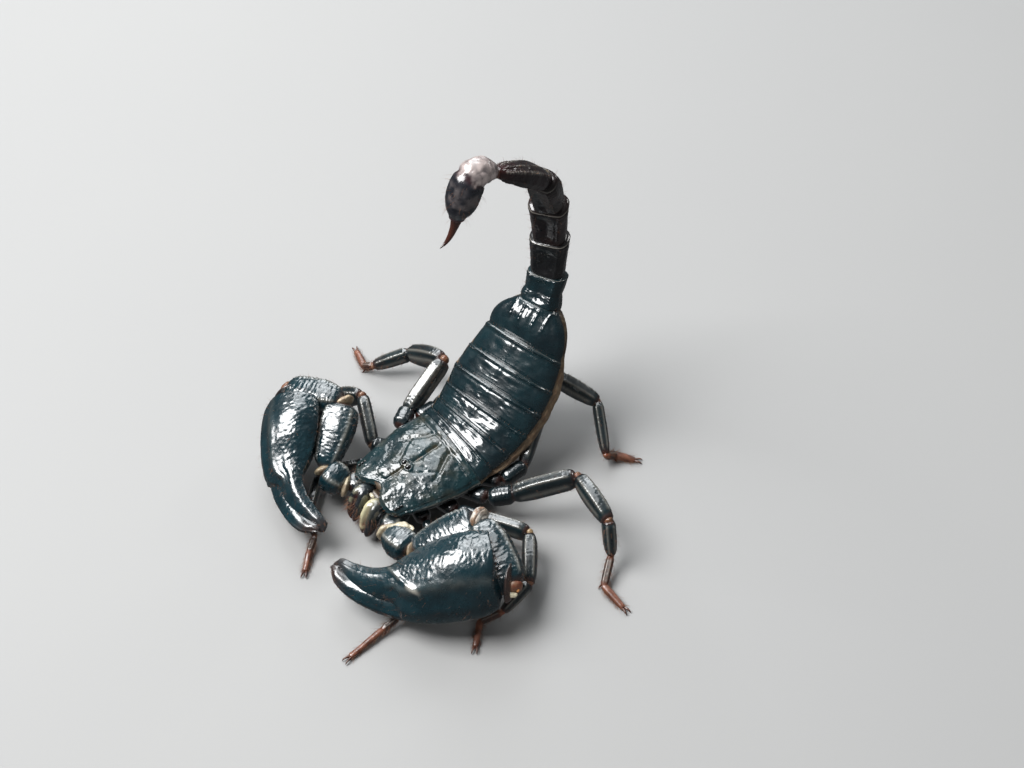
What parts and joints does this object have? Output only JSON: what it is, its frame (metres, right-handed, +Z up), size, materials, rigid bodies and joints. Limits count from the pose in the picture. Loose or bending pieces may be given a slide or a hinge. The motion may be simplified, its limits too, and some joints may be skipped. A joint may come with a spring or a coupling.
{
  "type": "scorpion",
  "caption": "Adult forest scorpion standing with broad claws curled in front and the tail raised and arched forward; a still, life-size display model.",
  "frame": {"origin": "middle of the bounding box at ground level, the level that all eight feet rest on", "axes": "+Z up; the head end faces -Y, turned about 13 degrees to the animal's right; +X is the animal's left"},
  "size_m": [0.0732, 0.0746, 0.0669],
  "materials": {
    "shell_gloss": "wet-looking gloss, finely granular, near-black blue-green",
    "claw_gloss": "gloss, coarsely granular above and smooth outside, dark teal",
    "leg_gloss": "gloss, blue-black",
    "tail_dark": "satin gloss, red-black",
    "tarsus_brown": "satin, reddish brown",
    "telson_slate": "satin, slate grey",
    "sting_brown": "gloss, dark red-brown",
    "membrane_tan": "satin, pale tan",
    "eye_black": "high gloss, black"
  },
  "bodies": {
    "root": {"aculeus": "sting_brown", "carapace": "shell_gloss", "chelicera_left": "shell_gloss", "chelicera_right": "shell_gloss", "coxosternum": "leg_gloss", "eye_median_left": "eye_black", "eye_median_right": "eye_black", "eyes_lateral_left": "eye_black", "eyes_lateral_right": "eye_black", "leg_left_1_femur": "leg_gloss", "leg_left_1_tarsus": "tarsus_brown", "leg_left_1_tibia": "leg_gloss", "leg_left_2_femur": "leg_gloss", "leg_left_2_tarsus": "tarsus_brown", "leg_left_2_tibia": "leg_gloss", "leg_left_3_femur": "leg_gloss", "leg_left_3_tarsus": "tarsus_brown", "leg_left_3_tibia": "leg_gloss", "leg_left_4_femur": "leg_gloss", "leg_left_4_tarsus": "tarsus_brown", "leg_left_4_tibia": "leg_gloss", "leg_right_1_femur": "leg_gloss", "leg_right_1_tarsus": "tarsus_brown", "leg_right_1_tibia": "leg_gloss", "leg_right_2_femur": "leg_gloss", "leg_right_2_tarsus": "tarsus_brown", "leg_right_2_tibia": "leg_gloss", "leg_right_3_femur": "leg_gloss", "leg_right_3_tarsus": "tarsus_brown", "leg_right_3_tibia": "leg_gloss", "leg_right_4_femur": "leg_gloss", "leg_right_4_tarsus": "tarsus_brown", "leg_right_4_tibia": "leg_gloss", "mesosoma_1": "shell_gloss", "mesosoma_2": "shell_gloss", "mesosoma_3": "shell_gloss", "mesosoma_4": "shell_gloss", "mesosoma_5": "shell_gloss", "mesosoma_6": "shell_gloss", "mesosoma_7": "shell_gloss", "metasoma_1": "shell_gloss", "metasoma_2": "shell_gloss", "metasoma_3": "tail_dark", "metasoma_4": "tail_dark", "metasoma_5": "tail_dark", "palp_femur_left": "claw_gloss", "palp_femur_right": "claw_gloss", "palp_finger_left": "claw_gloss", "palp_finger_right": "claw_gloss", "palp_hand_left": "claw_gloss", "palp_hand_right": "claw_gloss", "palp_patella_left": "claw_gloss", "palp_patella_right": "claw_gloss", "palp_trochanter_left": "claw_gloss", "palp_trochanter_right": "claw_gloss", "pecten_left": "membrane_tan", "pecten_right": "membrane_tan", "telson_vesicle": "telson_slate"}
  },
  "joints": []
}
